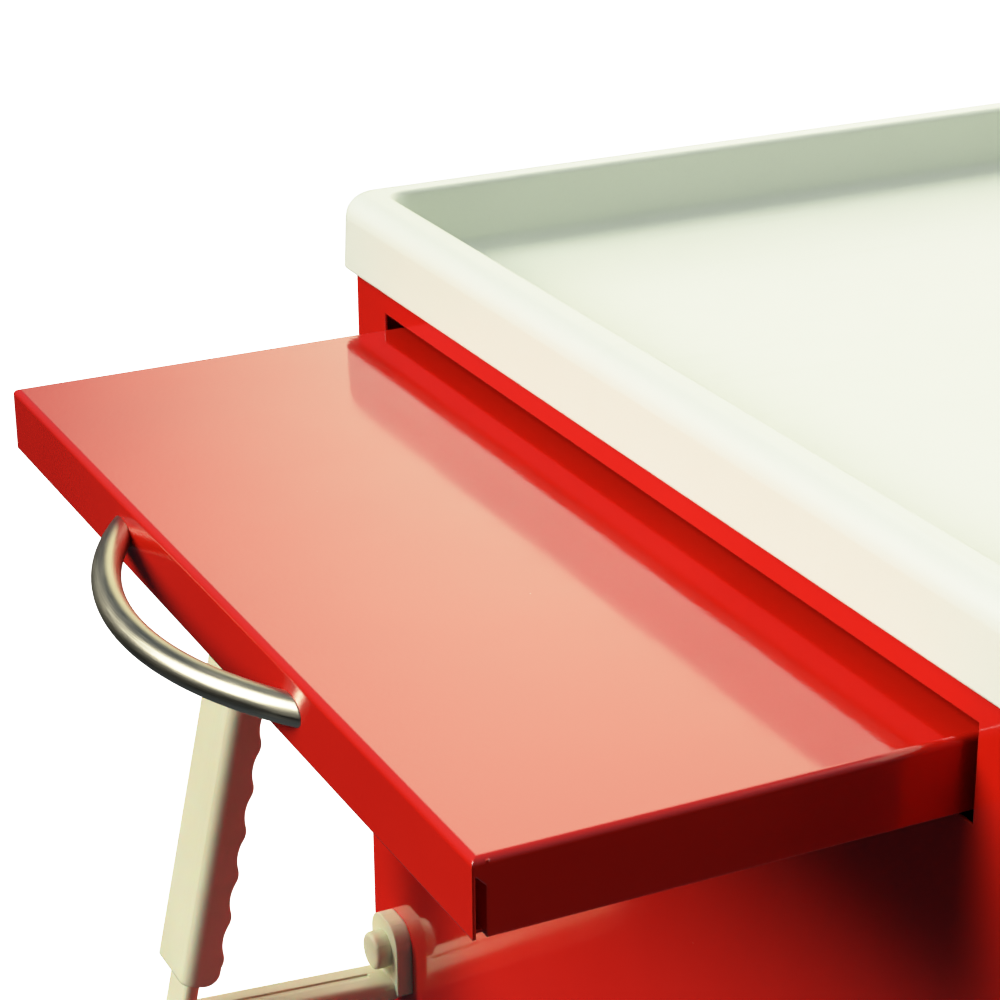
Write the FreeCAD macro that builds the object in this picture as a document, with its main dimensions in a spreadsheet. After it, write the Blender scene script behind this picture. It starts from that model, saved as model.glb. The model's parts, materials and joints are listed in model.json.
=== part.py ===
"""Rolling drawer chest with a pull-out side shelf, a moulded tray top and corner push handles.

Millimetres, +Z up.  The origin is on the floor under the middle of the cabinet.  The drawers
open towards -Y and the side shelf slides out towards -X.
"""
import FreeCAD, Part
import math
import os
import re

import Sketcher

SIZES = {
    # cabinet shell
    "cabinet_width": 700, "cabinet_depth": 585, "body_bottom": 215, "body_top": 1000,
    "sheet": 1.2, "post_width": 25, "post_return": 30, "panel_bend": 2,
    "rail_depth": 20, "front_rail_bottom": 925, "bay_floor": 929, "screw_radius": 4.5,
    # slot and pull-out shelf
    "slot_length": 512.5, "slot_above": 7.5, "slot_below": 3.1,
    "shelf_length": 506, "shelf_shift": 1.75, "shelf_out": 194.5, "shelf_inside": 110,
    "shelf_top": 978, "shelf_flange": 30, "shelf_bend": 3, "shelf_slit": 4, "shelf_return": 12,
    "shelf_tab": 16, "slit_high": 6.5, "slit_low": 10.5,
    "guide_gap": 2, "guide_set": 15, "guide_length": 245, "guide_lip": 22,
    # moulded tray top
    "tray_top": 1037.5, "tray_overhang": 5, "tray_longer": 13.5, "skirt_draft": 2, "tray_inset": 16.8,
    "recess_draft": 6, "tray_floor": 1003, "tray_corner": 20, "tray_inner_corner": 12,
    "lip_outer_round": 12, "lip_inner_round": 3, "tray_floor_edge": 7,
    # bow pulls
    "bow_radius": 166.3, "bow_bar": 6.3, "bow_half_span": 96,
    # drawers
    "drawer_gap": 3, "drawer_low": 222, "front_thick": 18, "front_half": 322, "front_set": 1,
    "box_half": 312.5, "box_depth": 520, "box_above": 12, "box_below": 22,
    "slide_depth": 11, "slide_tall": 46, "slide_sheet": 1.5, "slide_length": 530,
    "slide_start": 268, "slide_play": 0.4, "runner_length": 500, "runner_tall": 42,
    "divider_tall": 12, "divider_front": 270,
    # push handles
    "handle_middle": 257.75, "handle_wide": 26, "pad_wide": 34, "pad_thick": 9, "pad_rise": 35,
    "pad_start": 6, "pad_round": 13,
    "arm_low": 589, "arm_thick": 12, "arm_climb": 0.07, "arm_high": 893,
    "arm_edge": 3.5, "heel_round": 15, "elbow_round": 12, "inner_round": 5,
    "post_lean": 12.3, "post_level": 637, "post_reach": 123.8, "post_thick": 8.7,
    "groove_wide": 4, "groove_deep": 0.8,
    "grip_wide": 45, "grip_outside": 9.9, "grip_inside": 9.3, "grip_waves": 9, "wave_pitch": 24.7,
    "ridge_half": 4, "wave_rise": 1.25, "first_ridge": 15, "grip_toe": 8, "grip_edge": 7,
    "cap_radius": 10.7, "cap_thick": 9, "cap_rise": 16.5, "cap_edge": 2.5,
    # lock
    "lock_across": 288, "lock_level": 965, "lock_barrel": 10, "plug_radius": 7,
    "plug_play": 0.05, "lock_flange": 14,
    # base and casters
    "base_bottom": 160, "base_sheet": 2.5, "base_inset": 5, "gusset": 125, "gusset_thick": 4,
    "bumper_thick": 12, "bumper_leg": 75, "bumper_tall": 42, "bumper_round": 22,
    "caster_across": 278, "caster_along": 220, "plate_long": 104, "plate_wide": 90,
    "plate_thick": 4, "kingpin": 8, "kingpin_play": 0.05, "crown_radius": 30,
    "crown_bottom": 134, "fork_play": 0.4, "trail": 38, "wheel_radius": 62.5,
    "wheel_width": 32, "rim_radius": 48, "rim_width": 30, "axle_radius": 6, "axle_play": 0.05,
    "leg_inner": 19.5, "leg_thick": 4, "pedal_pivot": 40, "pedal_level": 134, "pedal_half": 17,
    "pedal_pin": 3, "pedal_length": 78,
}
DRAWER_HEIGHTS = (261, 190, 120, 120)   # front heights, lowest drawer first
CORNERS = {"front_left": (-1, -1), "front_right": (1, -1), "rear_left": (-1, 1), "rear_right": (1, 1)}
SIDES = {"left": -1, "right": 1}

doc = FreeCAD.newDocument("rolling_tool_chest")
sheet = doc.addObject("Spreadsheet::Sheet", "sizes")
for row, (alias, number) in enumerate(SIZES.items(), start=1):
    sheet.set(f"A{row}", alias)
    sheet.set(f"B{row}", str(number))
    sheet.setAlias(f"B{row}", alias)
doc.recompute()
NODES = []


# ---------------------------------------------------------------- helpers
def tied(text):
    """The expression with every size name pointed at the sheet."""
    return re.sub(r"[a-z_]+", lambda word: f"sizes.{word[0]}" if word[0] in SIZES else word[0], str(text))


def bind(item, prop, text):
    item.setExpression(prop, tied(text))


def place(item, base, turn=None):
    """Tie the object's position to the sheet, after an optional turn."""
    if turn is not None:
        item.Placement = FreeCAD.Placement(FreeCAD.Vector(), turn)
    for axis, text in zip("xyz", base):
        bind(item, f"Placement.Base.{axis}", text)
    return item


def about(axis, degrees):
    return FreeCAD.Rotation(FreeCAD.Vector(*axis), degrees)


def box(name, low, size):
    item = doc.addObject("Part::Box", name)
    for prop, text in zip(("Length", "Width", "Height"), size):
        bind(item, prop, text)
    return place(item, low)


def rod(name, base, radius, length, axis=(0, 0, 1)):
    """A cylinder from base along axis."""
    item = doc.addObject("Part::Cylinder", name)
    bind(item, "Radius", radius)
    bind(item, "Height", length)
    return place(item, base, FreeCAD.Rotation(FreeCAD.Vector(0, 0, 1), FreeCAD.Vector(*axis)))


def cut(name, base, *tools):
    for count, tool in enumerate(tools):
        item = doc.addObject("Part::Cut", name if count == len(tools) - 1 else f"{name}_cut")
        item.Base, item.Tool = base, tool
        base = item
    return base


def fuse(name, first, *others):
    for count, other in enumerate(others):
        item = doc.addObject("Part::Fuse", name if count == len(others) - 1 else f"{name}_join")
        item.Base, item.Tool = first, other
        first = item
    return first


def node(label, item):
    """Mark an object as a finished piece, named label."""
    item.Label = label
    NODES.append(item)
    return item


def new_body(name, base=("0", "0", "0"), turn=None):
    return place(doc.addObject("PartDesign::Body", name), base, turn)


def attach(sketch, body, role, offset):
    plane = next(item for item in body.Origin.OriginFeatures if item.Role == role)
    sketch.AttachmentSupport = (plane, [""])
    sketch.MapMode = "FlatFace"
    bind(sketch, "AttachmentOffset.Base.z", offset)


def outline(body, name, role, points, offset="0"):
    """A closed straight-sided sketch whose every corner is tied to the sheet."""
    sketch = body.newObject("Sketcher::SketchObject", name)
    attach(sketch, body, role, offset)
    count = len(points)
    ring = [FreeCAD.Vector(math.cos(turn), math.sin(turn), 0) * 100
            for turn in (math.tau * k / count for k in range(count))]
    for k in range(count):
        sketch.addGeometry(Part.LineSegment(ring[k], ring[(k + 1) % count]), False)
    for k in range(count):
        sketch.addConstraint(Sketcher.Constraint("Coincident", k, 2, (k + 1) % count, 1))
    for k, (across, up) in enumerate(points):
        for kind, text, guess in (("DistanceX", across, ring[k].x), ("DistanceY", up, ring[k].y)):
            number = sketch.addConstraint(Sketcher.Constraint(kind, -1, 1, k, 1, guess))
            sketch.setExpression(f"Constraints[{number}]", tied(text))
    return sketch


def rectangle(left, right, low, high):
    return [(left, low), (right, low), (right, high), (left, high)]


def pad(body, name, sketch, length, taper="0"):
    feature = body.newObject("PartDesign::Pad", name)
    feature.Profile = sketch
    bind(feature, "Length", length)
    bind(feature, "TaperAngle", taper)
    doc.recompute()
    return feature


def pocket(body, name, sketch, length, reversed_way=False, taper="0"):
    """Cut the sketch into the body, and make sure that something was cut."""
    before = body.Shape.Volume
    feature = body.newObject("PartDesign::Pocket", name)
    feature.Profile = sketch
    feature.Reversed = reversed_way
    bind(feature, "Length", length)
    bind(feature, "TaperAngle", taper)
    doc.recompute()
    assert body.Shape.Volume < before - 1, f"{name} cuts nothing"
    return feature


def edges_where(shape, test):
    return [f"Edge{k}" for k, edge in enumerate(shape.Edges, start=1) if test(edge)]


def round_edges(body, name, radius, test):
    feature = body.newObject("PartDesign::Fillet", name)
    last = body.Tip if body.Tip != feature else feature.BaseFeature
    names = edges_where(last.Shape, test)
    assert names, f"{name} finds no edge"
    feature.Base = (last, names)
    bind(feature, "Radius", radius)
    body.Tip = feature
    doc.recompute()
    return feature


def runs(edge, axis, limit=0.9):
    """True when the edge is straight and within about 25 degrees of the axis."""
    ends = edge.Vertexes
    if len(ends) < 2:
        return False
    way = ends[-1].Point - ends[0].Point
    straight = edge.Length - way.Length < 0.001
    return straight and abs(way.normalize().dot(FreeCAD.Vector(*axis))) > limit


def at(edge, axis, value, slack=0.05):
    """True when every end of the edge has the given coordinate."""
    return all(abs(getattr(vertex.Point, axis) - value) < slack for vertex in edge.Vertexes)


# ---------------------------------------------------------------- cabinet shell
def side_panel(name, side):
    """Folded C-shaped side, drawn from its outer face inwards along its own +X."""
    turn = about((0, 0, 1), 0 if side < 0 else 180)
    body = new_body(name, (f"{side} * cabinet_width / 2", "0", "0"), turn)
    edge, inner = "cabinet_depth / 2", "cabinet_depth / 2 - sheet"
    lip = "cabinet_depth / 2 - post_return"
    half = [("0", edge), ("post_width", edge), ("post_width", lip), ("post_width - sheet", lip),
            ("post_width - sheet", inner), ("sheet", inner)]
    mirrored = [(across, f"-({along})") for across, along in half]
    section = outline(body, f"{name}_section", "XY_Plane", mirrored + half[::-1], "body_bottom")
    pad(body, f"{name}_sheet", section, "body_top - sheet - body_bottom")
    depth = SIZES["cabinet_depth"] / 2
    round_edges(body, f"{name}_bends", "panel_bend",
                lambda edge: runs(edge, (0, 0, 1)) and at(edge, "x", 0) and abs(abs(edge.Vertexes[0].Y) - depth) < 0.05)
    return body


def left_side_panel():
    body = side_panel("left_side_panel", -1)
    slot = outline(body, "shelf_slot", "YZ_Plane",
                   rectangle("-slot_length / 2", "slot_length / 2", "shelf_top - shelf_flange - slot_below",
                             "shelf_top + slot_above"), "-1")
    pocket(body, "shelf_slot_cut", slot, "sheet + 2", reversed_way=True)
    node("left_side_panel", body)


def right_side_panel():
    """Plain side, with a window in its front return for the lock bar's arm."""
    body = side_panel("right_side_panel", 1)
    window = outline(body, "lock_window", "YZ_Plane",
                     rectangle("cabinet_depth / 2 - post_return + 4", "cabinet_depth / 2 - 5",
                               "lock_level - 5", "lock_level + 33"), "post_width - sheet - 1")
    pocket(body, "lock_window_cut", window, "sheet + 2", reversed_way=True)
    node("right_side_panel", body)


def shell_sheets():
    node("back_panel", box("back_sheet", ("-cabinet_width / 2 + post_width", "cabinet_depth / 2 - sheet",
                                          "body_bottom"),
                           ("cabinet_width - 2 * post_width", "sheet", "body_top - sheet - body_bottom")))
    node("top_deck", box("deck_sheet", ("-cabinet_width / 2", "-cabinet_depth / 2", "body_top - sheet"),
                         ("cabinet_width", "cabinet_depth", "sheet")))
    node("bottom_pan", box("bottom_sheet", ("-cabinet_width / 2 + 2", "-cabinet_depth / 2 + 2",
                                            "body_bottom - sheet"),
                           ("cabinet_width - 4", "cabinet_depth - 4", "sheet")))
    node("shelf_bay_floor", box("bay_sheet", ("-cabinet_width / 2 + post_width",
                                              "-cabinet_depth / 2 + rail_depth", "bay_floor"),
                                ("cabinet_width - 2 * post_width", "cabinet_depth - rail_depth - sheet", "sheet")))


def front_top_rail():
    """Channel across the front, above the drawers, with the lock's hole."""
    body = new_body("rail_body")
    face, back = "-cabinet_depth / 2", "-cabinet_depth / 2 + rail_depth"
    low, high = "front_rail_bottom", "body_top - sheet"
    points = [(face, low), (back, low), (back, f"{low} + sheet"), (f"{face} + sheet", f"{low} + sheet"),
              (f"{face} + sheet", f"{high} - sheet"), (back, f"{high} - sheet"), (back, high), (face, high)]
    section = outline(body, "rail_section", "YZ_Plane", points, "-cabinet_width / 2 + post_width")
    pad(body, "rail_sheet", section, "cabinet_width - 2 * post_width")
    hole = rod("lock_hole", ("lock_across", "-cabinet_depth / 2 - 5", "lock_level"), "lock_barrel", "15",
               (0, 1, 0))
    node("front_top_rail", cut("rail_cut", body, hole))


def divider_rails():
    """One shallow channel between each pair of drawers, just behind their fronts."""
    rails = []
    for number, (low, _) in enumerate(drawer_levels()[1:], start=1):
        base = f"{low} - drawer_gap / 2 - divider_tall / 2"
        outer = box(f"divider_{number}_outer", ("-cabinet_width / 2 + post_width", "-divider_front", base),
                    ("cabinet_width - 2 * post_width", "rail_depth", "divider_tall"))
        inner = box(f"divider_{number}_inner", ("-cabinet_width / 2 + post_width - 1", "-divider_front + sheet",
                                                f"{base} + sheet"),
                    ("cabinet_width - 2 * post_width + 2", "rail_depth", "divider_tall - 2 * sheet"))
        rails.append(cut(f"divider_{number}", outer, inner))
    node("divider_rails", fuse("dividers", *rails))


def back_panel_screws():
    screws = []
    for across in (-300, -100, 100, 300):
        for level in (245, 610, 975):
            screws.append(rod(f"screw_{len(screws)}", (str(across), "cabinet_depth / 2", str(level)),
                              "screw_radius", "2.2", (0, 1, 0)))
    node("back_panel_screws", fuse("screws", *screws))


# ---------------------------------------------------------------- tray top
def tapered_block(name, inset, low, tall, taper, corner):
    """A rounded block inset from the tray's outline over the cabinet, drafted as it rises from low."""
    body = new_body(name)
    wide, deep = f"(cabinet_width / 2 - ({inset}))", f"(cabinet_depth / 2 + tray_longer - ({inset}))"
    base = outline(body, f"{name}_base", "XY_Plane", rectangle(f"-{wide}", wide, f"-{deep}", deep), low)
    pad(body, f"{name}_pad", base, tall, taper)
    round_edges(body, f"{name}_corners", corner, lambda edge: runs(edge, (0, 0, 1)))
    return body


def top_tray():
    """Moulded tray: drafted skirt, solid raised lip and a flat sunken floor."""
    spread = "tan(recess_draft * 1 deg)"
    skirt = tapered_block("tray_outside", "-tray_overhang", "body_top", "tray_top - body_top", "-skirt_draft",
                          "tray_corner")
    floor_inset = f"tray_inset + (tray_top - tray_floor) * {spread}"
    recess = tapered_block("tray_recess", floor_inset, "tray_floor", "tray_top - tray_floor + 5", "recess_draft",
                           "tray_inner_corner")
    floor = SIZES["tray_floor"]
    round_edges(recess, "tray_floor_round", "tray_floor_edge", lambda edge: at(edge, "z", floor))
    shell = cut("tray_shell", skirt, recess)
    doc.recompute()
    lip = doc.addObject("Part::Fillet", "tray_lip")
    lip.Base = shell
    rims = [(k, lip_round(edge)) for k, edge in enumerate(shell.Shape.Edges, start=1)
            if at(edge, "z", SIZES["tray_top"])]
    lip.Edges = [(k, radius, radius) for k, radius in rims]
    node("top_tray", lip)


def lip_round(edge):
    """The lip's outer rim is rounder than its inner one."""
    middle = edge.CenterOfMass
    half_deep = SIZES["cabinet_depth"] / 2 + SIZES["tray_longer"]
    beyond = max(abs(middle.x) - SIZES["cabinet_width"] / 2, abs(middle.y) - half_deep)
    return SIZES["lip_outer_round"] if beyond > -SIZES["tray_inset"] * 0.6 else SIZES["lip_inner_round"]


# ---------------------------------------------------------------- side shelf
def side_shelf():
    """Folded pan with turned-down flanges; its sides stop short of the outer flange."""
    body = new_body("shelf_body", ("-cabinet_width / 2 - shelf_out", "shelf_shift",
                                   "shelf_top - shelf_flange"))
    near, far = "-shelf_length / 2", "shelf_length / 2"
    long = "shelf_out + shelf_inside"
    block = outline(body, "shelf_outline", "XY_Plane", rectangle("0", long, near, far))
    pad(body, "shelf_block", block, "shelf_flange")
    top = SIZES["shelf_flange"]
    round_edges(body, "shelf_bends", "shelf_bend", lambda edge: at(edge, "z", top))
    hollow = outline(body, "shelf_hollow", "XY_Plane",
                     rectangle("sheet", f"{long} - sheet", f"{near} + sheet", f"{far} - sheet"))
    pocket(body, "shelf_hollow_cut", hollow, "shelf_flange - sheet", True)
    under = SIZES["shelf_flange"] - SIZES["sheet"]
    round_edges(body, "shelf_inner_bends", "shelf_bend - sheet", lambda edge: at(edge, "z", under))
    strip = outline(body, "shelf_return_strip", "XY_Plane",
                    rectangle("sheet", "shelf_return", f"{near} + 3 * sheet", f"{far} - 3 * sheet"))
    pad(body, "shelf_return_pad", strip, "sheet")
    shape = [("sheet", "-1"), ("sheet + shelf_slit", "-1"), ("sheet + shelf_slit", "shelf_flange - slit_low"),
             ("sheet", "shelf_flange - slit_high")]
    for name, plane, tab in (("near", f"-({near}) - sheet - 0.2", near),
                             ("far", f"-({far}) - 1", f"{far} - shelf_tab")):
        slit = outline(body, f"shelf_slit_{name}", "XZ_Plane", shape, plane)
        pocket(body, f"shelf_slit_{name}_cut", slit, "sheet + 1.2", True)
        turned = outline(body, f"shelf_tab_{name}", "XY_Plane",
                         rectangle("sheet + shelf_slit", "2 * sheet + shelf_slit", tab, f"{tab} + shelf_tab"))
        pad(body, f"shelf_tab_{name}_pad", turned, "shelf_flange - sheet")
    node("side_shelf", body)


def bow_pull(label, face, out):
    """Round bar bent to a circular bow, its two ends cut flush with the face it is on."""
    centre = list(face)
    along = 0 if out[0] else 1
    sign = out[along]
    reach = "sqrt(bow_radius * bow_radius - bow_half_span * bow_half_span)"
    centre[along] = f"{face[along]} - ({sign}) * {reach}"
    bow = doc.addObject("Part::Torus", f"{label}_bow")
    bind(bow, "Radius1", "bow_radius")
    bind(bow, "Radius2", "bow_bar")
    place(bow, centre)
    low = [f"{text} - bow_radius" for text in face]
    low[2] = f"{face[2]} - 2 * bow_bar"
    low[along] = face[along] if sign > 0 else f"{face[along]} - bow_radius"
    size = ["2 * bow_radius", "2 * bow_radius", "4 * bow_bar"]
    size[along] = "bow_radius"
    front = box(f"{label}_front", low, size)
    item = doc.addObject("Part::Common", f"{label}_common")
    item.Base, item.Tool = bow, front
    node(label, item)


def shelf_guides():
    """Two folded channels inside the cabinet that carry the shelf's side flanges."""
    rails = []
    for side, name in ((-1, "front"), (1, "rear")):
        wall = f"({side} * (slot_length / 2 + 0.5))"
        outer, inner = f"{wall} + {side} * sheet", f"{wall} - {side} * guide_lip"
        low = "shelf_top - shelf_flange - guide_gap"
        high = "shelf_top + guide_gap"
        body = new_body(f"guide_{name}_body")
        points = [(outer, "bay_floor + sheet"), (wall, "bay_floor + sheet"), (wall, f"{low} - sheet"),
                  (inner, f"{low} - sheet"), (inner, low), (wall, low), (wall, high), (inner, high),
                  (inner, f"{high} + sheet"), (outer, f"{high} + sheet")]
        section = outline(body, f"guide_{name}_section", "YZ_Plane", points, "-cabinet_width / 2 + guide_set")
        pad(body, f"guide_{name}_pad", section, "guide_length")
        rails.append(body)
    node("shelf_guides", fuse("guides", *rails))


# ---------------------------------------------------------------- drawers
def drawer_levels():
    """Bottom and top of every drawer front, as expressions, lowest drawer first."""
    levels = []
    low = "drawer_low"
    for height in DRAWER_HEIGHTS:
        levels.append((low, f"({low} + {height})"))
        low = f"({low} + {height} + drawer_gap)"
    return levels


def drawer(number, low, high):
    label = f"drawer_{number}"
    face = "(-cabinet_depth / 2 + front_set)"
    back = f"({face} + front_thick)"
    outer = box(f"{label}_front_block", ("-front_half", face, low), ("2 * front_half", "front_thick", f"{high} - {low}"))
    inner = box(f"{label}_front_hollow", ("-front_half + sheet", f"{face} + sheet", f"{low} + sheet"),
                ("2 * front_half - 2 * sheet", "front_thick", f"{high} - {low} - 2 * sheet"))
    node(f"{label}_front", cut(f"{label}_front_pan", outer, inner))
    block = box(f"{label}_box_block", ("-box_half", back, f"{low} + box_above"),
                ("2 * box_half", "box_depth", f"{high} - {low} - box_above - box_below"))
    hollow = box(f"{label}_box_hollow", ("-box_half + sheet", f"{back} + sheet", f"{low} + box_above + sheet"),
                 ("2 * box_half - 2 * sheet", "box_depth - 2 * sheet", f"{high} - {low}"))
    node(f"{label}_box", cut(f"{label}_box_pan", block, hollow))
    bow_pull(f"{label}_pull", ["0", face, f"({low} + {high}) / 2"], (0, -1))
    runners = []
    for name, side in SIDES.items():
        wide = "(cabinet_width / 2 - post_width - slide_sheet - slide_play - box_half)"
        start = "box_half" if side > 0 else f"-box_half - {wide}"
        level = f"{low} + box_above + 2 + (slide_tall - runner_tall) / 2"
        bar = box(f"{label}_runner_{name}_bar", (start, "-slide_start", level), (wide, "runner_length", "runner_tall"))
        hollow_start = f"{start} + slide_sheet" if side > 0 else f"{start} - 1"
        groove = box(f"{label}_runner_{name}_groove", (hollow_start, "-slide_start - 1", f"{level} + slide_sheet"),
                     (f"{wide} - slide_sheet + 1", "runner_length + 2", "runner_tall - 2 * slide_sheet"))
        runners.append(cut(f"{label}_runner_{name}", bar, groove))
    node(f"{label}_runners", fuse(f"{label}_runner_pair", *runners))


def slide_rails():
    """Fixed outer channels of the drawer slides, screwed to the corner posts."""
    rails = []
    for number, (low, _) in enumerate(drawer_levels(), start=1):
        for name, side in SIDES.items():
            wall = "(cabinet_width / 2 - post_width)"
            start = f"{wall} - slide_depth" if side > 0 else f"-{wall}"
            level = f"{low} + box_above + 2"
            bar = box(f"slide_{number}_{name}_bar", (start, "-slide_start", level),
                      ("slide_depth", "slide_length", "slide_tall"))
            hollow = f"{start} - 1" if side > 0 else f"{start} + slide_sheet"
            groove = box(f"slide_{number}_{name}_groove", (hollow, "-slide_start - 1", f"{level} + slide_sheet"),
                         ("slide_depth - slide_sheet + 1", "slide_length + 2", "slide_tall - 2 * slide_sheet"))
            rails.append(cut(f"slide_{number}_{name}", bar, groove))
    node("slide_rails", fuse("slides", *rails))


# ---------------------------------------------------------------- push handles
def push_handle(name, side):
    """Moulded bracket drawn from the panel outwards along its own -X."""
    turn = about((0, 0, 1), 0 if side < 0 else 180)
    body = new_body(f"{name}_bracket", (f"{side} * cabinet_width / 2", "handle_middle", "0"), turn)
    lean = "tan(post_lean * 1 deg)"
    outer = "(-post_reach - post_thick / 2)"
    inner = "(-post_reach + post_thick / 2)"
    low_end = "arm_low + arm_climb * post_reach"
    under = "arm_high - arm_thick"
    points = [
        ("0", "arm_low"),
        (f"{outer} + ({low_end} - post_level) * {lean}", low_end),
        (f"{outer} + (arm_high - post_level) * {lean}", "arm_high"),
        ("0", "arm_high"),
        ("0", under),
        (f"{inner} + ({under} - post_level) * {lean}", under),
        (f"{inner} + ({low_end} + arm_thick - post_level) * {lean}", f"{low_end} + arm_thick"),
        ("0", "arm_low + arm_thick"),
    ]
    profile = outline(body, f"{name}_profile", "XZ_Plane", points, "-handle_wide / 2")
    pad(body, f"{name}_arms", profile, "handle_wide")
    across, low, high = SIZES["handle_wide"], SIZES["arm_low"] + 20, SIZES["arm_high"] - 1

    def corner(edge):
        return runs(edge, (0, 1, 0)) and abs(edge.Length - across) < 0.01

    round_edges(body, f"{name}_elbows", "elbow_round",
                lambda edge: corner(edge) and edge.CenterOfMass.x < -20 and not low < edge.CenterOfMass.z < high)
    round_edges(body, f"{name}_inner_elbows", "inner_round",
                lambda edge: corner(edge) and edge.CenterOfMass.x < -50 and is_inner(edge))
    round_edges(body, f"{name}_heel", "heel_round - 5",
                lambda edge: corner(edge) and at(edge, "x", 0) and (at(edge, "z", SIZES["arm_low"])
                                                                    or at(edge, "z", SIZES["arm_high"])))
    round_edges(body, f"{name}_long_edges", "arm_edge",
                lambda edge: abs(abs(edge.Vertexes[0].Y) - across / 2) < 0.01
                and abs(abs(edge.Vertexes[-1].Y) - across / 2) < 0.01
                and not corner(edge) and not at(edge, "x", 0))
    for spot, start, end in (("low", "arm_low + pad_start", "arm_low + arm_thick + pad_rise"),
                             ("high", f"{under} - pad_rise", "arm_high - pad_start")):
        plate = outline(body, f"{name}_pad_{spot}", "YZ_Plane", rectangle("-pad_wide / 2", "pad_wide / 2", start, end),
                        "-pad_thick")
        pad(body, f"{name}_pad_{spot}_plate", plate, "pad_thick")
    wide = SIZES["pad_wide"] / 2
    thick = SIZES["pad_thick"]
    round_edges(body, f"{name}_pad_corners", "pad_round",
                lambda edge: runs(edge, (1, 0, 0)) and abs(edge.Length - thick) < 0.01
                and abs(abs(edge.Vertexes[0].Y) - wide) < 0.01 and pad_tip(edge))
    groove_in, groove_out = "-pad_thick - 10", "-post_reach + 16"
    floor_in = "arm_low + arm_thick + arm_climb * (pad_thick + 10) - groove_deep"
    floor_out = "arm_low + arm_thick + arm_climb * (post_reach - 16) - groove_deep"
    groove = outline(body, f"{name}_groove", "XZ_Plane",
                     [(groove_in, floor_in), (groove_in, f"{floor_in} + 5"), (groove_out, f"{floor_out} + 5"),
                      (groove_out, floor_out)], "-groove_wide / 2")
    pocket(body, f"{name}_groove_cut", groove, "groove_wide", True)
    node(f"{name}_push_handle", body)


def is_inner(edge):
    """True for the two corners on the hand's side of the bracket's post."""
    level = edge.CenterOfMass.z
    return SIZES["arm_low"] + SIZES["arm_thick"] < level < SIZES["arm_high"] - SIZES["arm_thick"] + 0.1


def pad_tip(edge):
    """True at the free ends of the two pads, away from the arms."""
    level = edge.CenterOfMass.z
    return SIZES["arm_low"] + SIZES["arm_thick"] + 5 < level < SIZES["arm_high"] - SIZES["arm_thick"] - 5


def handle_grip(name, side):
    """Contoured sleeve on the post: flat outside, finger waves on the cabinet's side."""
    turn = about((0, 0, 1), 0 if side < 0 else 180).multiply(about((0, 1, 0), SIZES["post_lean"]))
    body = new_body(f"{name}_grip", (f"{side} * (cabinet_width / 2 + post_reach)", "handle_middle",
                                     "post_level"), turn)
    sketch = body.newObject("Sketcher::SketchObject", f"{name}_grip_side")
    attach(sketch, body, "XZ_Plane", "-grip_wide / 2")
    for curve in grip_outline():
        sketch.addGeometry(curve, False)
    pad(body, f"{name}_grip_block", sketch, "grip_wide")
    tall = grip_height()
    slim = "post_thick / 2 * cos(post_lean * 1 deg)"
    channel = outline(body, f"{name}_grip_channel", "XY_Plane",
                      rectangle(f"-{slim}", slim, "-handle_wide / 2", "handle_wide / 2"), "-1")
    pocket(body, f"{name}_grip_channel_cut", channel, str(tall + 2), True)
    half_wide, outside = SIZES["grip_wide"] / 2, SIZES["grip_outside"]
    round_edges(body, f"{name}_grip_edges", "grip_edge",
                lambda edge: runs(edge, (0, 0, 1)) and at(edge, "x", -outside)
                and abs(abs(edge.Vertexes[0].Y) - half_wide) < 0.05)
    node(f"{name}_handle_grip", body)


def grip_height():
    return 2 * SIZES["first_ridge"] + (SIZES["grip_waves"] - 1) * SIZES["wave_pitch"]


def grip_outline():
    """The grip's side view: a row of ridges and hollows joined at equal slopes, and round toes."""
    inside, outside, toe = SIZES["grip_inside"], SIZES["grip_outside"], SIZES["grip_toe"]
    ridge, rise, pitch = SIZES["ridge_half"], SIZES["wave_rise"], SIZES["wave_pitch"]
    tall = grip_height()
    hollow = pitch / 2 - ridge
    diagonal = toe * (1 - math.sqrt(0.5))

    def spot(x, z):
        return FreeCAD.Vector(x, z, 0)

    level = SIZES["first_ridge"] - ridge
    curves = [Part.LineSegment(spot(inside, toe), spot(inside, level))]
    for count in range(SIZES["grip_waves"]):
        top = rise * 2 * ridge / (ridge + hollow)
        curves.append(Part.Arc(spot(inside, level), spot(inside + top, level + ridge), spot(inside, level + 2 * ridge)))
        level += 2 * ridge
        if count < SIZES["grip_waves"] - 1:
            dip = rise * 2 * hollow / (ridge + hollow)
            curves.append(Part.Arc(spot(inside, level), spot(inside - dip, level + hollow),
                                   spot(inside, level + 2 * hollow)))
            level += 2 * hollow
    curves += [
        Part.LineSegment(spot(inside, level), spot(inside, tall - toe)),
        Part.Arc(spot(inside, tall - toe), spot(inside - diagonal, tall - diagonal), spot(inside - toe, tall)),
        Part.LineSegment(spot(inside - toe, tall), spot(-outside, tall)),
        Part.LineSegment(spot(-outside, tall), spot(-outside, 0)),
        Part.LineSegment(spot(-outside, 0), spot(inside - toe, 0)),
        Part.Arc(spot(inside - toe, 0), spot(inside - diagonal, diagonal), spot(inside, toe)),
    ]
    return curves


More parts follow.
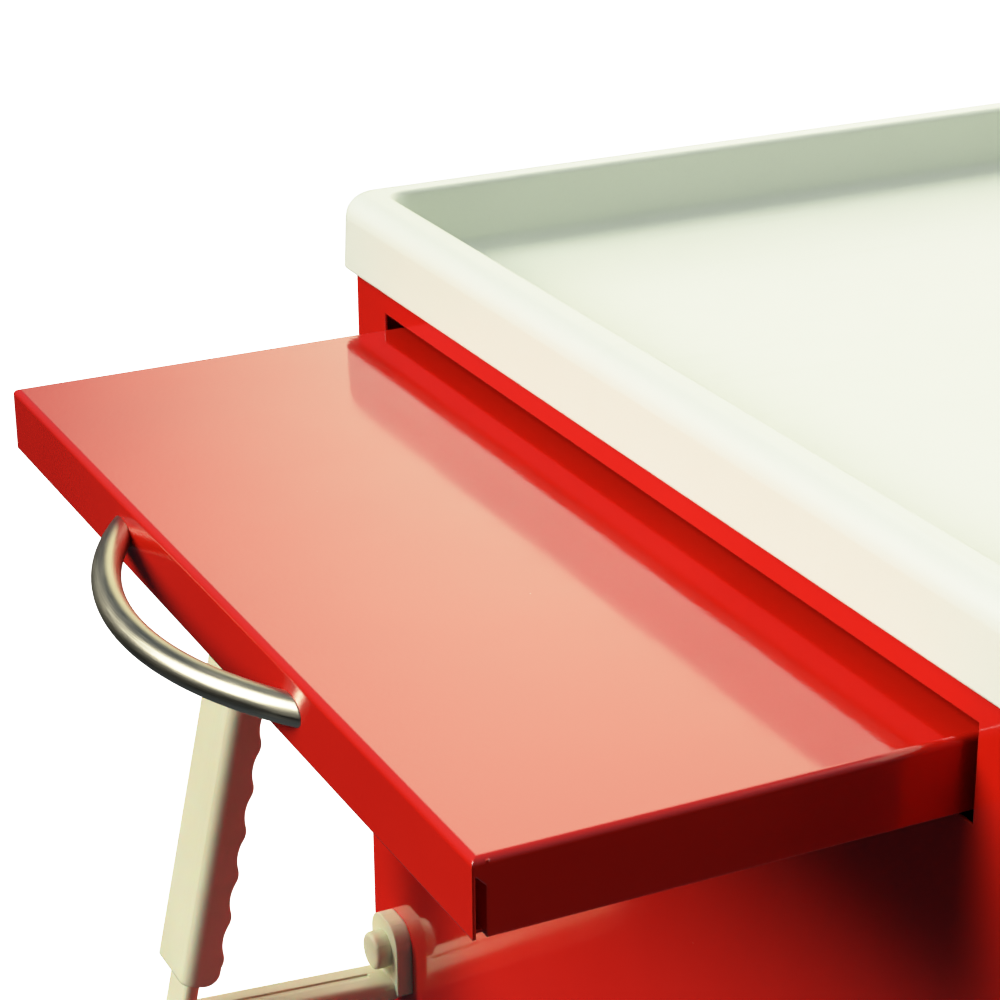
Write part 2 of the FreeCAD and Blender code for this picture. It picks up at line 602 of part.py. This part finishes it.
def handle_caps():
    """Round covers over the handle bolts, two on each bracket."""
    caps = []
    for name, side in SIDES.items():
        start = f"{side} * (cabinet_width / 2 + pad_thick)"
        for spot, level in (("low", "arm_low + arm_thick + cap_rise"),
                            ("high", "arm_high - arm_thick - cap_rise")):
            cap = rod(f"cap_{name}_{spot}", (start, "handle_middle", level), "cap_radius", "cap_thick", (side, 0, 0))
            doc.recompute()
            face = side * (SIZES["cabinet_width"] / 2 + SIZES["pad_thick"] + SIZES["cap_thick"])
            rim = doc.addObject("Part::Fillet", f"cap_{name}_{spot}_rim")
            rim.Base = cap
            rim.Edges = [(k, SIZES["cap_edge"], SIZES["cap_edge"])
                         for k, edge in enumerate(cap.Shape.Edges, start=1) if at(edge, "x", face)]
            caps.append(rim)
    node("handle_caps", fuse("caps", *caps))


# ---------------------------------------------------------------- lock
def lock():
    face = "(-cabinet_depth / 2)"
    flange = rod("lock_flange_disc", ("lock_across", f"{face} - 3", "lock_level"), "lock_flange", "3", (0, 1, 0))
    barrel = rod("lock_barrel_rod", ("lock_across", face, "lock_level"), "lock_barrel", "26", (0, 1, 0))
    bore = rod("lock_bore", ("lock_across", f"{face} - 5", "lock_level"), "plug_radius + plug_play", "40", (0, 1, 0))
    node("lock_housing", cut("lock_shell", fuse("lock_solid", flange, barrel), bore))
    plug = rod("plug_rod", ("lock_across", f"{face} - 4", "lock_level"), "plug_radius", "34", (0, 1, 0))
    keyhole = box("plug_keyhole", ("lock_across - 4.5", f"{face} - 6", "lock_level - 0.7"), ("9", "7", "1.4"))
    cam = box("plug_cam", ("lock_across - 7", f"{face} + 27", "lock_level - 6"), ("29", "2.5", "12"))
    node("lock_cylinder", fuse("plug_and_cam", cut("plug_cut", plug, keyhole), cam))
    bar = box("bar_strip", ("cabinet_width / 2 - 19", f"{face} + 9", "body_bottom + 17"),
              ("14", "3", "lock_level - body_bottom"))
    arm = box("bar_arm", ("cabinet_width / 2 - 32", f"{face} + 9", "lock_level + 11"), ("27", "3", "6"))
    node("lock_bar", fuse("bar_and_arm", bar, arm))


# ---------------------------------------------------------------- base and casters
def base_frame():
    """Shallow steel pan turned upside down, with a gusset plate over each caster."""
    wide, deep = "(cabinet_width - 2 * base_inset)", "(cabinet_depth - 2 * base_inset)"
    tall = "(body_bottom - sheet - base_bottom)"
    outer = box("base_outer", (f"-{wide} / 2", f"-{deep} / 2", "base_bottom"), (wide, deep, tall))
    inner = box("base_inner", (f"-{wide} / 2 + base_sheet", f"-{deep} / 2 + base_sheet", "base_bottom - 1"),
                (f"{wide} - 2 * base_sheet", f"{deep} - 2 * base_sheet", f"{tall} - base_sheet + 1"))
    pieces = [cut("base_pan", outer, inner)]
    for name, (right, back) in CORNERS.items():
        edge_x, edge_y = f"({wide} / 2 - base_sheet)", f"({deep} / 2 - base_sheet)"
        low_x = f"{edge_x} - gusset" if right > 0 else f"-{edge_x}"
        low_y = f"{edge_y} - gusset" if back > 0 else f"-{edge_y}"
        pieces.append(box(f"gusset_{name}", (low_x, low_y, "base_bottom"), ("gusset", "gusset", "gusset_thick")))
    node("base_frame", fuse("base_join", *pieces))


def corner_bumpers():
    """Soft L-shaped guards round the four corners of the base."""
    guards = []
    for name, (right, back) in CORNERS.items():
        quarter = {(1, 1): 0, (-1, 1): 90, (-1, -1): 180, (1, -1): 270}[right, back]
        body = new_body(f"bumper_{name}", (f"{right} * (cabinet_width / 2 - base_inset)",
                                           f"{back} * (cabinet_depth / 2 - base_inset)", "base_bottom + 5"),
                        about((0, 0, 1), quarter))
        leg = "-bumper_leg + bumper_thick"
        points = [("bumper_thick", "bumper_thick"), (leg, "bumper_thick"), (leg, "0"), ("0", "0"), ("0", leg),
                  ("bumper_thick", leg)]
        section = outline(body, f"bumper_{name}_section", "XY_Plane", points)
        pad(body, f"bumper_{name}_pad", section, "bumper_tall")
        thick = SIZES["bumper_thick"]
        round_edges(body, f"bumper_{name}_nose", "bumper_thick - 2",
                    lambda edge: runs(edge, (0, 0, 1)) and at(edge, "x", thick) and at(edge, "y", thick))
        guards.append(body)
    node("corner_bumpers", fuse("bumpers", *guards))


def caster_mounts():
    """The fixed top plates of the four casters, and their bolts."""
    plates, bolts = [], []
    for name, (right, back) in CORNERS.items():
        x, y = f"({right} * caster_across)", f"({back} * caster_along)"
        plate = box(f"plate_{name}", (f"{x} - plate_long / 2", f"{y} - plate_wide / 2", "base_bottom - plate_thick"),
                    ("plate_long", "plate_wide", "plate_thick"))
        hole = rod(f"plate_hole_{name}", (x, y, "base_bottom - plate_thick - 1"), "kingpin + kingpin_play",
                   "plate_thick + 2")
        plates.append(cut(f"plate_cut_{name}", plate, hole))
        for across in (-1, 1):
            for along in (-1, 1):
                bolts.append(rod(f"bolt_{name}_{len(bolts)}",
                                 (f"{x} + {across} * (plate_long / 2 - 11)", f"{y} + {along} * (plate_wide / 2 - 11)",
                                  "base_bottom - plate_thick - 5"), "6.5", "5"))
    node("caster_plates", fuse("plates", *plates))
    node("caster_bolts", fuse("bolts", *bolts))


def caster(name, right, back, braked):
    """Swivel fork with its axle and wheel, trailing towards the front."""
    x, y = f"({right} * caster_across)", f"({back} * caster_along)"
    axle_y = f"({y} - trail)"
    fork_top = "(base_bottom - plate_thick - fork_play)"
    legs = []
    for side in (-1, 1):
        leg = new_body(f"fork_leg_{name}_{side}")
        points = [(f"{y} + 26", "crown_bottom + 10"), (f"{y} - 48", "crown_bottom + 10"),
                  (f"{y} - 50", "crown_bottom - 8"), (f"{axle_y} - 17", "wheel_radius + 4"),
                  (f"{axle_y} - 9", "wheel_radius - 14"), (f"{axle_y} + 9", "wheel_radius - 14"),
                  (f"{axle_y} + 17", "wheel_radius + 4"), (f"{y} + 26", "crown_bottom - 4")]
        start = f"{x} + leg_inner" if side > 0 else f"{x} - leg_inner - leg_thick"
        section = outline(leg, f"fork_side_{name}_{side}", "YZ_Plane", points, start)
        pad(leg, f"fork_leg_pad_{name}_{side}", section, "leg_thick")
        legs.append(leg)
    bridge = box(f"fork_bridge_{name}", (f"{x} - leg_inner", f"{y} - 26", "crown_bottom"), ("2 * leg_inner", "52", "10"))
    crown = rod(f"fork_crown_{name}", (x, y, "crown_bottom + 10"), "crown_radius", f"{fork_top} - crown_bottom - 10")
    pin = rod(f"fork_pin_{name}", (x, y, fork_top), "kingpin", "plate_thick + fork_play - 0.3")
    hole = rod(f"fork_hole_{name}", (f"{x} - 40", axle_y, "wheel_radius"), "axle_radius", "80", (1, 0, 0))
    solid = fuse(f"fork_solid_{name}", *legs, bridge, crown, pin)
    if braked:
        pivot = rod(f"pedal_pin_{name}", (f"{x} - leg_inner - 1", f"{y} - pedal_pivot", "pedal_level"), "pedal_pin",
                    "2 * leg_inner + 2", (1, 0, 0))
        solid = fuse(f"fork_with_pin_{name}", solid, pivot)
    node(f"caster_{name}_fork", cut(f"fork_cut_{name}", solid, hole))
    shank = rod(f"axle_shank_{name}", (f"{x} - leg_inner - leg_thick", axle_y, "wheel_radius"), "axle_radius",
                "2 * leg_inner + 2 * leg_thick", (1, 0, 0))
    heads = [rod(f"axle_head_{name}_{side}", (f"{x} + {side} * (leg_inner + leg_thick)", axle_y, "wheel_radius"),
                 "axle_radius + 3.5", "4.5", (side, 0, 0)) for side in (-1, 1)]
    node(f"caster_{name}_axle", fuse(f"axle_{name}", shank, *heads))
    wheel(name, x, axle_y)
    if braked:
        brake_pedal(name, x, y)


def wheel(name, x, axle_y):
    """Moulded hub with a dished web, and the tyre round it."""
    def disc(part, radius, wide, start=None):
        start = start or f"{x} - ({wide}) / 2"
        return rod(f"{part}_{name}", (start, axle_y, "wheel_radius"), radius, wide, (1, 0, 0))

    hub = fuse(f"hub_{name}", disc("hub_web", "rim_radius - 4", "rim_width - 16"),
               cut(f"hub_ring_{name}", disc("hub_rim", "rim_radius", "rim_width"),
                   disc("hub_inside", "rim_radius - 5", "rim_width + 2")),
               disc("hub_boss", "axle_radius + 9", "2 * leg_inner - 2"))
    node(f"wheel_{name}_hub", cut(f"hub_bored_{name}", hub, disc("hub_bore", "axle_radius + axle_play", "60")))
    tread = new_body(f"tread_{name}", (x, axle_y, "wheel_radius"))
    half = "wheel_width / 2"
    section = outline(tread, f"tread_section_{name}", "XZ_Plane",
                      [(f"-{half}", "rim_radius"), (half, "rim_radius"), (half, "wheel_radius - 5"),
                       (f"{half} - 5", "wheel_radius"), (f"5 - {half}", "wheel_radius"),
                       (f"-{half}", "wheel_radius - 5")])
    turned = tread.newObject("PartDesign::Revolution", f"tread_turned_{name}")
    turned.Profile = section
    turned.ReferenceAxis = (section, ["H_Axis"])
    turned.Angle = 360
    doc.recompute()
    node(f"wheel_{name}_tyre", tread)


def brake_pedal(name, x, y):
    """Foot lever on a pin between the fork legs."""
    pivot_y = f"({y} - pedal_pivot)"
    plate = box(f"pedal_plate_{name}", (f"{x} - pedal_half", f"{pivot_y} - pedal_length", "pedal_level - 3"),
                ("2 * pedal_half", "pedal_length", "4"))
    barrel = rod(f"pedal_barrel_{name}", (f"{x} - pedal_half", pivot_y, "pedal_level"), "pedal_pin + 3",
                 "2 * pedal_half", (1, 0, 0))
    toe = box(f"pedal_toe_{name}", (f"{x} - pedal_half - 4", f"{pivot_y} - pedal_length - 4", "pedal_level - 3"),
              ("2 * pedal_half + 8", "28", "9"))
    bore = rod(f"pedal_bore_{name}", (f"{x} - 40", pivot_y, "pedal_level"), "pedal_pin + axle_play", "80", (1, 0, 0))
    node(f"brake_pedal_{name}", cut(f"pedal_cut_{name}", fuse(f"pedal_solid_{name}", plate, barrel, toe), bore))


# ---------------------------------------------------------------- the whole chest
def build():
    left_side_panel()
    right_side_panel()
    shell_sheets()
    front_top_rail()
    divider_rails()
    back_panel_screws()
    top_tray()
    side_shelf()
    bow_pull("side_shelf_pull", ["(-cabinet_width / 2 - shelf_out)", "shelf_shift",
                                 "(shelf_top - shelf_flange / 2)"], (-1, 0))
    shelf_guides()
    for number, (low, high) in enumerate(drawer_levels(), start=1):
        drawer(number, low, high)
    slide_rails()
    for name, side in SIDES.items():
        push_handle(name, side)
        handle_grip(name, side)
    handle_caps()
    lock()
    base_frame()
    corner_bumpers()
    caster_mounts()
    for name, (right, back) in CORNERS.items():
        caster(name, right, back, braked=back < 0)


def export():
    """Check every object, then write one STEP file for each piece."""
    doc.recompute()
    failed = [item.Label for item in doc.Objects if "Invalid" in item.State or "Error" in item.State]
    assert not failed, f"failed objects: {failed}"
    for item in NODES:
        assert not item.Shape.isNull() and item.Shape.isValid(), f"bad shape: {item.Label}"
    os.makedirs("parts", exist_ok=True)
    for item in NODES:
        item.Shape.exportStep(f"parts/{item.Label}.step")
        print(f"{item.Label}: {item.Shape.Volume / 1000:.1f} cm3, {len(item.Shape.Solids)} solids")
    print(len(NODES), "pieces")


build()
export()
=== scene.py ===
"""Rolling tool chest: a red enamelled drawer cabinet with a moulded tray top and a pull-out side shelf."""
import json
import math

import bpy
from mathutils import Matrix, Vector

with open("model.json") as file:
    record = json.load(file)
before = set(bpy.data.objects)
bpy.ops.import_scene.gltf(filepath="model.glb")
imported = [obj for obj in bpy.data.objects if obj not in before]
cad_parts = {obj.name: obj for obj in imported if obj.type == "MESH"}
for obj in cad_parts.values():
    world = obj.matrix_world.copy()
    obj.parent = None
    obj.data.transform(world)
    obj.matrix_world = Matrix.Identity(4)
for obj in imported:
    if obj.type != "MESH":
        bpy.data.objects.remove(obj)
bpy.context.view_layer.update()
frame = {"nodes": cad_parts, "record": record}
RECORD = frame["record"]
SLOT_OF = {part["node"]: part["material_slot"] for part in RECORD["subparts"]}


# ---------------------------------------------------------------- camera

def look_along(heading, dip, roll):
    """Camera rotation from degrees: heading turns from +Y towards +X, dip looks down, roll leans right."""
    h, d, r = (math.radians(value) for value in (heading, dip, roll))
    ahead = Vector((math.sin(h) * math.cos(d), math.cos(h) * math.cos(d), -math.sin(d)))
    level = Vector((math.cos(h), -math.sin(h), 0))
    above = level.cross(ahead)
    right = level * math.cos(r) - above * math.sin(r)
    return Matrix((right, right.cross(ahead), -ahead)).transposed().to_euler()


camera = bpy.data.objects.new("camera", bpy.data.cameras.new("camera"))
bpy.context.scene.collection.objects.link(camera)
bpy.context.scene.camera = camera
camera.data.lens, camera.data.sensor_width = 99.36, 36
camera.data.clip_end = 200
camera.location = (-0.87796, -0.95996, 1.42292)
camera.rotation_euler = look_along(25.94, 22.16, 0.48)


# ---------------------------------------------------------------- node helpers

class Net:
    """Short names for the nodes of one material."""

    def __init__(self, tree):
        self.tree = tree
        self.object_place = self.add("ShaderNodeTexCoord").outputs["Object"]

    def add(self, kind, **settings):
        made = self.tree.nodes.new(kind)
        for key, value in settings.items():
            setattr(made, key, value)
        return made

    def feed(self, socket, value):
        if isinstance(value, bpy.types.NodeSocket):
            self.tree.links.new(value, socket)
        else:
            socket.default_value = value

    def stretched(self, x, y, z):
        scaled = self.add("ShaderNodeMapping")
        self.feed(scaled.inputs["Vector"], self.object_place)
        scaled.inputs["Scale"].default_value = (x, y, z)
        return scaled.outputs["Vector"]

    def noise(self, scale, detail=2.0, rough=0.5, place=None, twist=0.0):
        made = self.add("ShaderNodeTexNoise")
        self.feed(made.inputs["Vector"], place or self.object_place)
        self.feed(made.inputs["Scale"], scale)
        self.feed(made.inputs["Detail"], detail)
        self.feed(made.inputs["Roughness"], rough)
        self.feed(made.inputs["Distortion"], twist)
        return made.outputs["Fac"]

    def cells(self, scale):
        made = self.add("ShaderNodeTexVoronoi", feature="F1")
        self.feed(made.inputs["Vector"], self.object_place)
        self.feed(made.inputs["Scale"], scale)
        return made

    def span(self, value, low, high, out_low=0.0, out_high=1.0, smooth=False):
        made = self.add("ShaderNodeMapRange")
        if smooth:
            made.interpolation_type = "SMOOTHSTEP"
        for name, number in (("Value", value), ("From Min", low), ("From Max", high),
                             ("To Min", out_low), ("To Max", out_high)):
            self.feed(made.inputs[name], number)
        return made.outputs["Result"]

    def maths(self, operation, a, b=0.0):
        made = self.add("ShaderNodeMath", operation=operation)
        self.feed(made.inputs[0], a)
        self.feed(made.inputs[1], b)
        return made.outputs[0]

    def blend(self, share, first, second):
        made = self.add("ShaderNodeMix", data_type="RGBA")
        self.feed(made.inputs["Factor"], share)
        self.feed(made.inputs["A"], (*first, 1) if isinstance(first, tuple) else first)
        self.feed(made.inputs["B"], (*second, 1) if isinstance(second, tuple) else second)
        return made.outputs["Result"]

    def bump(self, height, distance, normal=None):
        made = self.add("ShaderNodeBump")
        self.feed(made.inputs["Height"], height)
        made.inputs["Distance"].default_value = distance
        made.inputs["Strength"].default_value = 1.0
        if normal:
            self.feed(made.inputs["Normal"], normal)
        return made.outputs["Normal"]

    def soft_edge(self, radius):
        made = self.add("ShaderNodeBevel", samples=6)
        made.inputs["Radius"].default_value = radius
        return made.outputs["Normal"]

    def edge_share(self, rounded):
        """1 on sharp edges and 0 on flats, from how far the rounded normal leans."""
        plain = self.add("ShaderNodeNewGeometry").outputs["Normal"]
        dot = self.add("ShaderNodeVectorMath", operation="DOT_PRODUCT")
        self.feed(dot.inputs[0], plain)
        self.feed(dot.inputs[1], rounded)
        return self.span(dot.outputs["Value"], 0.99, 0.86)


def new_material(name, **fixed):
    """A material with one Principled shader, its constants set on its own sockets."""
    made = bpy.data.materials.new(name)
    made.use_nodes = True
    net = Net(made.node_tree)
    shader = made.node_tree.nodes["Principled BSDF"]
    for key, value in fixed.items():
        shader.inputs[key.replace("_", " ")].default_value = value
    return made, net, shader


def finish_material(net, shader, colour, roughness, normal):
    net.feed(shader.inputs["Base Color"], colour)
    net.feed(shader.inputs["Roughness"], roughness)
    net.feed(shader.inputs["Normal"], normal)


# ---------------------------------------------------------------- materials

def red_enamel():
    """Glossy baked enamel: fine orange peel, faint clouding, dust specks, and edges lightened partly for thin
    paint and partly as a painted edge highlight.
    """
    made, net, shader = new_material("red_enamel", IOR=1.5, Coat_Weight=0.9, Coat_IOR=1.55, Coat_Roughness=0.03)
    rounded = net.soft_edge(0.0009)
    clouds = net.span(net.noise(7, 3), 0.35, 0.65)
    colour = net.blend(clouds, (0.685, 0.0125, 0.0044), (0.745, 0.0155, 0.0058))
    grain = net.span(net.noise(1500, 1), 0.3, 0.7)
    colour = net.blend(net.maths("MULTIPLY", grain, 0.07), colour, (0.62, 0.006, 0.002))
    # lighter along every sharp edge: partly thin paint there, partly a painted highlight standing in for the
    # lit rim of each fold
    colour = net.blend(net.maths("MULTIPLY", net.edge_share(rounded), 0.35), colour, (0.93, 0.07, 0.03))
    specks = net.cells(75)
    dust = net.maths("MULTIPLY", net.span(specks.outputs["Distance"], 0.028, 0.012),
                     net.span(net.noise(9, 1), 0.58, 0.66))
    colour = net.blend(net.maths("MULTIPLY", dust, 0.6), colour, (0.85, 0.42, 0.34))
    smears = net.span(net.noise(11, 4, 0.6, net.stretched(1, 2.2, 1), 0.6), 0.42, 0.72)
    roughness = net.span(smears, 0, 1, 0.08, 0.16)
    peel = net.bump(net.noise(560, 2, 0.45), 0.000026, rounded)
    fine = net.bump(net.noise(1400, 1), 0.000003, peel)
    wavy = net.bump(net.noise(13, 1), 0.00022, fine)
    finish_material(net, shader, colour, roughness, wavy)
    net.feed(shader.inputs["Coat Normal"], wavy)
    return made


def tray_plastic():
    """Smooth moulded top: pale, slightly green cream with soft mottling and faintly rubbed patches."""
    made, net, shader = new_material("cream_tray", IOR=1.46)
    rounded = net.soft_edge(0.0012)
    clouds = net.span(net.noise(3.5, 3), 0.35, 0.65)
    colour = net.blend(clouds, (0.840, 0.895, 0.755), (0.857, 0.907, 0.780))
    speck = net.span(net.noise(900, 1), 0.62, 0.75)
    colour = net.blend(net.maths("MULTIPLY", speck, 0.06), colour, (0.62, 0.62, 0.50))
    drags = net.span(net.noise(9, 3, 0.55, net.stretched(0.5, 9, 0.5)), 0.56, 0.74)
    patch = net.span(net.noise(4.2, 2), 0.50, 0.68)
    rubbed = net.maths("MULTIPLY", drags, patch)
    colour = net.blend(net.maths("MULTIPLY", rubbed, 0.10), colour, (0.66, 0.66, 0.54))
    satin = net.span(net.noise(60, 3), 0.3, 0.7, 0.28, 0.36)
    roughness = net.maths("ADD", satin, net.maths("MULTIPLY", rubbed, 0.12))
    stipple = net.bump(net.noise(1100, 2), 0.000012, rounded)
    sink = net.bump(net.noise(9, 1), 0.0004, stipple)
    finish_material(net, shader, colour, roughness, sink)
    return made


def moulded_cream():
    """Warm cream nylon of the push handles, with a spark-eroded skin and grubby patches scattered at random."""
    made, net, shader = new_material("cream_moulding", IOR=1.5, Subsurface_Weight=0.3,
                                     Subsurface_Scale=0.008)
    rounded = net.soft_edge(0.0016)
    clouds = net.span(net.noise(14, 3), 0.35, 0.65)
    colour = net.blend(clouds, (0.735, 0.70, 0.475), (0.775, 0.745, 0.52))
    grime = net.span(net.noise(45, 4, 0.65), 0.60, 0.80)
    colour = net.blend(net.maths("MULTIPLY", grime, 0.22), colour, (0.50, 0.44, 0.28))
    flow = net.noise(3, 1, 0.5, net.stretched(1, 260, 1))
    streak = net.span(flow, 0.60, 0.66)
    colour = net.blend(net.maths("MULTIPLY", streak, 0.10), colour, (0.60, 0.56, 0.36))
    roughness = net.span(net.noise(80, 3), 0.3, 0.7, 0.36, 0.48)
    skin = net.bump(net.noise(1300, 2), 0.00002, rounded)
    seams = net.bump(streak, 0.00008, skin)
    finish_material(net, shader, colour, roughness, seams)
    return made


def satin_nickel():
    """Brushed nickel whose fine lines run level round each bar."""
    made, net, shader = new_material("satin_nickel", Metallic=1.0, Anisotropic=0.3)
    rounded = net.soft_edge(0.0008)
    lines = net.noise(1, 3, 0.6, net.stretched(55, 55, 4200))
    cloud = net.noise(24, 2)
    colour = net.blend(net.span(lines, 0.35, 0.65), (0.47, 0.435, 0.325), (0.58, 0.545, 0.42))
    colour = net.blend(net.maths("MULTIPLY", net.span(cloud, 0.5, 0.75), 0.25), colour, (0.46, 0.42, 0.31))
    roughness = net.maths("ADD", net.span(lines, 0.3, 0.7, 0.30, 0.42),
                          net.span(cloud, 0.3, 0.7, -0.02, 0.03))
    brushed = net.bump(lines, 0.000008, rounded)
    finish_material(net, shader, colour, roughness, brushed)
    return made


def zinc_sheet(name, light, dark):
    """Zinc-plated steel with a faint spangle, drag lines and dull patches."""
    made, net, shader = new_material(name, Metallic=1.0)
    rounded = net.soft_edge(0.0006)
    spangle = net.cells(150).outputs["Color"]
    grey = net.add("ShaderNodeSeparateColor")
    net.feed(grey.inputs["Color"], spangle)
    drag = net.noise(1, 2, 0.5, net.stretched(40, 900, 900))
    share = net.maths("ADD", net.maths("MULTIPLY", grey.outputs["Red"], 0.5), net.maths("MULTIPLY", drag, 0.5))
    colour = net.blend(share, dark, light)
    dull = net.span(net.noise(16, 4, 0.6), 0.5, 0.75)
    colour = net.blend(net.maths("MULTIPLY", dull, 0.16), colour, tuple(0.55 * v for v in dark))
    roughness = net.span(net.maths("ADD", share, dull), 0.2, 1.6, 0.26, 0.52)
    finish_material(net, shader, colour, roughness, net.bump(drag, 0.00001, rounded))
    return made


def rubber(name, light, dark, rough, grain):
    """Moulded rubber: fine grain, chalky scuffs where it meets the world."""
    made, net, shader = new_material(name, IOR=1.48)
    rounded = net.soft_edge(0.0012)
    clouds = net.span(net.noise(20, 3), 0.35, 0.65)
    colour = net.blend(clouds, dark, light)
    scuffs = net.span(net.noise(70, 4, 0.7, net.stretched(1, 1, 0.35)), 0.58, 0.74)
    colour = net.blend(net.maths("MULTIPLY", scuffs, 0.3), colour, tuple(min(1, 1.9 * v + 0.03) for v in light))
    roughness = net.span(net.noise(130, 2), 0.3, 0.7, rough - 0.06, rough + 0.08)
    skin = net.bump(net.noise(grain, 2), 0.00004, rounded)
    finish_material(net, shader, colour, roughness, skin)
    return made


MATERIALS = {
    "red_enamel": red_enamel(),
    "cream_tray": tray_plastic(),
    "cream_moulding": moulded_cream(),
    "satin_nickel": satin_nickel(),
    "zinc_steel": zinc_sheet("zinc_steel", (0.62, 0.62, 0.60), (0.42, 0.43, 0.43)),
    # dark steel for the base frame; the same dark colour also goes on the shelf guides so the slot behind them
    # reads dark, which is painted shade
    "dark_steel": zinc_sheet("dark_steel", (0.19, 0.185, 0.18), (0.10, 0.10, 0.10)),
    "bumper_rubber": rubber("bumper_rubber", (0.062, 0.062, 0.060), (0.036, 0.036, 0.036), 0.58, 900),
    "tyre_grey": rubber("tyre_grey", (0.27, 0.265, 0.25), (0.21, 0.205, 0.195), 0.52, 800),
    "hub_plastic": rubber("hub_plastic", (0.60, 0.59, 0.54), (0.53, 0.52, 0.47), 0.38, 1200),
    "pedal_plastic": rubber("pedal_plastic", (0.50, 0.022, 0.012), (0.43, 0.016, 0.008), 0.40, 1000),
}
for name, node in frame["nodes"].items():
    for index in range(max(1, len(node.material_slots))):
        if not node.material_slots:
            node.data.materials.append(None)
        node.material_slots[index].material = MATERIALS[SLOT_OF[name]]


# ---------------------------------------------------------------- floor and light

def floor():
    """A wide pale floor that takes the chest's soft shadow."""
    mesh = bpy.data.meshes.new("floor")
    far = 30
    mesh.from_pydata([(-far, -far, 0), (far, -far, 0), (far, far, 0), (-far, far, 0)], [], [(0, 1, 2, 3)])
    made = bpy.data.objects.new("floor", mesh)
    bpy.context.scene.collection.objects.link(made)
    material, net, shader = new_material("pale_floor", Emission_Color=(1, 0.995, 0.98, 1),
                                         Emission_Strength=PALE)
    tone = net.span(net.noise(1.3, 3), 0.3, 0.7)
    finish_material(net, shader, net.blend(tone, (0.86, 0.86, 0.84), (0.89, 0.89, 0.87)), 0.8,
                    net.bump(net.noise(300, 2), 0.00004))
    mesh.materials.append(material)
    made.visible_diffuse = made.visible_glossy = False


def studio_world():
    """Soft light by direction: a key from the upper left, a screen behind and a weaker light on the right."""
    world = bpy.data.worlds.new("studio")
    bpy.context.scene.world = world
    world.use_nodes = True
    tree = world.node_tree
    tree.nodes.clear()
    net = Net(tree)
    way = net.add("ShaderNodeTexCoord").outputs["Generated"]

    def towards(direction):
        dot = net.add("ShaderNodeVectorMath", operation="DOT_PRODUCT")
        net.feed(dot.inputs[0], way)
        dot.inputs[1].default_value = Vector(direction).normalized()
        return dot.outputs["Value"]

    def glow(share, strength, colour):
        made = net.add("ShaderNodeBackground")
        net.feed(made.inputs["Color"], (*colour, 1))
        net.feed(made.inputs["Strength"], net.maths("MULTIPLY", share, strength))
        return made.outputs[0]

    def patch(direction, full, none, strength, colour):
        """A round soft patch: full strength within one angle, nothing beyond the other."""
        outer, inner = math.cos(math.radians(none)), math.cos(math.radians(full))
        share = net.span(towards(direction), outer, inner, smooth=True)
        return glow(share, strength, colour)

    up = towards((0, 0, 1))
    low = net.maths("ADD", net.span(up, -0.5, -1.0, 0, 0.10), net.span(up, -0.2, 0.6, 0.008, 0.145))
    lit = glow(low, 1.0, (0.90, 1.12, 1.45))
    for each in (patch(KEY_WAY, 9, 24, KEY, WARM), patch(BACKDROP_WAY, 17, 33, BACKDROP, YELLOW),
                 patch(SIDE_WAY, 22, 42, SIDE, WARM)):
        both = net.add("ShaderNodeAddShader")
        net.feed(both.inputs[0], lit)
        net.feed(both.inputs[1], each)
        lit = both.outputs[0]
    plain = net.add("ShaderNodeBackground")
    net.feed(plain.inputs["Color"], (1, 1, 0.99, 1))
    net.feed(plain.inputs["Strength"], PALE)
    seen = net.add("ShaderNodeLightPath").outputs["Is Camera Ray"]
    either = net.add("ShaderNodeMixShader")
    net.feed(either.inputs[0], seen)
    net.feed(either.inputs[1], lit)
    net.feed(either.inputs[2], plain.outputs[0])
    net.feed(net.add("ShaderNodeOutputWorld").inputs["Surface"], either.outputs[0])
    world.cycles.sampling_method = "MANUAL"
    world.cycles.sample_map_resolution = 512


def front_lamp():
    """A narrow soft lamp low in front, for the drawer fronts and the casters."""
    lamp = bpy.data.lights.new("front_lamp", "AREA")
    lamp.shape, lamp.size, lamp.size_y = "RECTANGLE", 1.1, 0.7
    lamp.energy, lamp.spread, lamp.color = 13, math.radians(42), (1, 0.98, 0.93)
    made = bpy.data.objects.new("front_lamp", lamp)
    bpy.context.scene.collection.objects.link(made)
    made.location = (0.45, -1.9, 0.30)
    made.rotation_euler = (Vector((0.10, -0.29, 0.45)) - made.location).to_track_quat("-Z", "Y").to_euler()
    made.visible_camera = False
    reached = bpy.data.collections.new("front_lamp_reaches")
    for name, node in frame["nodes"].items():
        if name.startswith(FRONT_PIECES):
            reached.objects.link(node)
    made.light_linking.receiver_collection = reached


FRONT_PIECES = ("drawer", "divider", "front_top", "lock", "base", "corner", "caster", "wheel", "brake",
                "right_side", "bottom")
PALE = 1.6    # how bright the floor and the plain background look to the camera
WARM, YELLOW = (1.0, 0.97, 0.88), (1.0, 0.96, 0.66)
KEY_WAY, KEY = (-0.77, 0.30, 0.56), 13.5
BACKDROP_WAY, BACKDROP = (0.655, 0.625, 0.423), 1.8
SIDE_WAY, SIDE = (0.92, -0.15, 0.36), 1.8
floor()
studio_world()
front_lamp()


# ---------------------------------------------------------------- display

def gentle_shoulder():
    """Plain display colours with a photographic roll-off in the brightest tones."""
    view = bpy.context.scene.view_settings
    view.view_transform, view.look, view.exposure, view.gamma = "Standard", "None", 0, 1
    view.use_curve_mapping = True
    mapping = view.curve_mapping
    brightest = 2.2
    mapping.white_level = (brightest,) * 3
    curve = mapping.curves[3]
    for x, y in ((0.2, 0.2), (0.5, 0.5), (0.75, 0.72), (1.0, 0.86), (1.4, 0.95)):
        curve.points.new(x / brightest, y)
    mapping.update()


gentle_shoulder()
